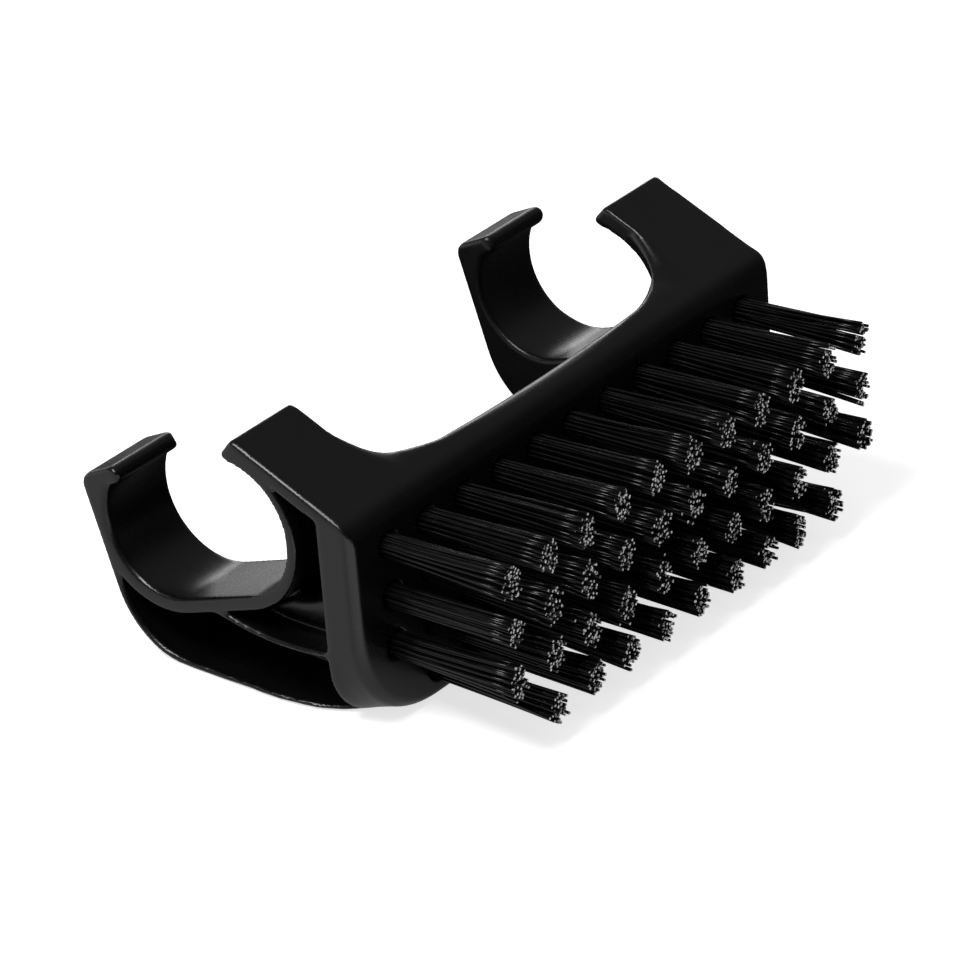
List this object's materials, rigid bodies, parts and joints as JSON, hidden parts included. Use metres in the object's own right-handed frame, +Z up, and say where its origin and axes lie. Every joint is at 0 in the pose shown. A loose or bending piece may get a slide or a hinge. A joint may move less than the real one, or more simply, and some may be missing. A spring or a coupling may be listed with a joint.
{
  "type": "clip-on shoe brush",
  "caption": "Shoe brush with a plate of stiff bristle tufts and a snap clip at each end, which holds it on an oval tube.",
  "frame": {"origin": "under the middle of the brush's outline, on the surface that it stands on", "axes": "+X along the brush and the tube that it clips to, -Y the way the bristles point, +Z up"},
  "size_m": [0.107, 0.0779, 0.0434],
  "materials": {
    "body": "satin black moulded plastic",
    "bristles": "glossy black nylon monofilament",
    "anchor_wire": "drawn flat wire"
  },
  "bodies": {
    "root": {"body": "body", "anchors_row1": "anchor_wire", "anchors_row2": "anchor_wire", "anchors_row3": "anchor_wire", "anchors_row4": "anchor_wire", "tuft_row1_01": "bristles", "tuft_row1_02": "bristles", "tuft_row1_03": "bristles", "tuft_row1_04": "bristles", "tuft_row1_05": "bristles", "tuft_row1_06": "bristles", "tuft_row1_07": "bristles", "tuft_row1_08": "bristles", "tuft_row1_09": "bristles", "tuft_row1_10": "bristles", "tuft_row1_11": "bristles", "tuft_row2_01": "bristles", "tuft_row2_02": "bristles", "tuft_row2_03": "bristles", "tuft_row2_04": "bristles", "tuft_row2_05": "bristles", "tuft_row2_06": "bristles", "tuft_row2_07": "bristles", "tuft_row2_08": "bristles", "tuft_row2_09": "bristles", "tuft_row2_10": "bristles", "tuft_row2_11": "bristles", "tuft_row3_01": "bristles", "tuft_row3_02": "bristles", "tuft_row3_03": "bristles", "tuft_row3_04": "bristles", "tuft_row3_05": "bristles", "tuft_row3_06": "bristles", "tuft_row3_07": "bristles", "tuft_row3_08": "bristles", "tuft_row3_09": "bristles", "tuft_row3_10": "bristles", "tuft_row3_11": "bristles", "tuft_row4_02": "bristles", "tuft_row4_03": "bristles", "tuft_row4_04": "bristles", "tuft_row4_05": "bristles", "tuft_row4_06": "bristles", "tuft_row4_07": "bristles", "tuft_row4_08": "bristles", "tuft_row4_09": "bristles", "tuft_row4_10": "bristles"}
  },
  "joints": []
}
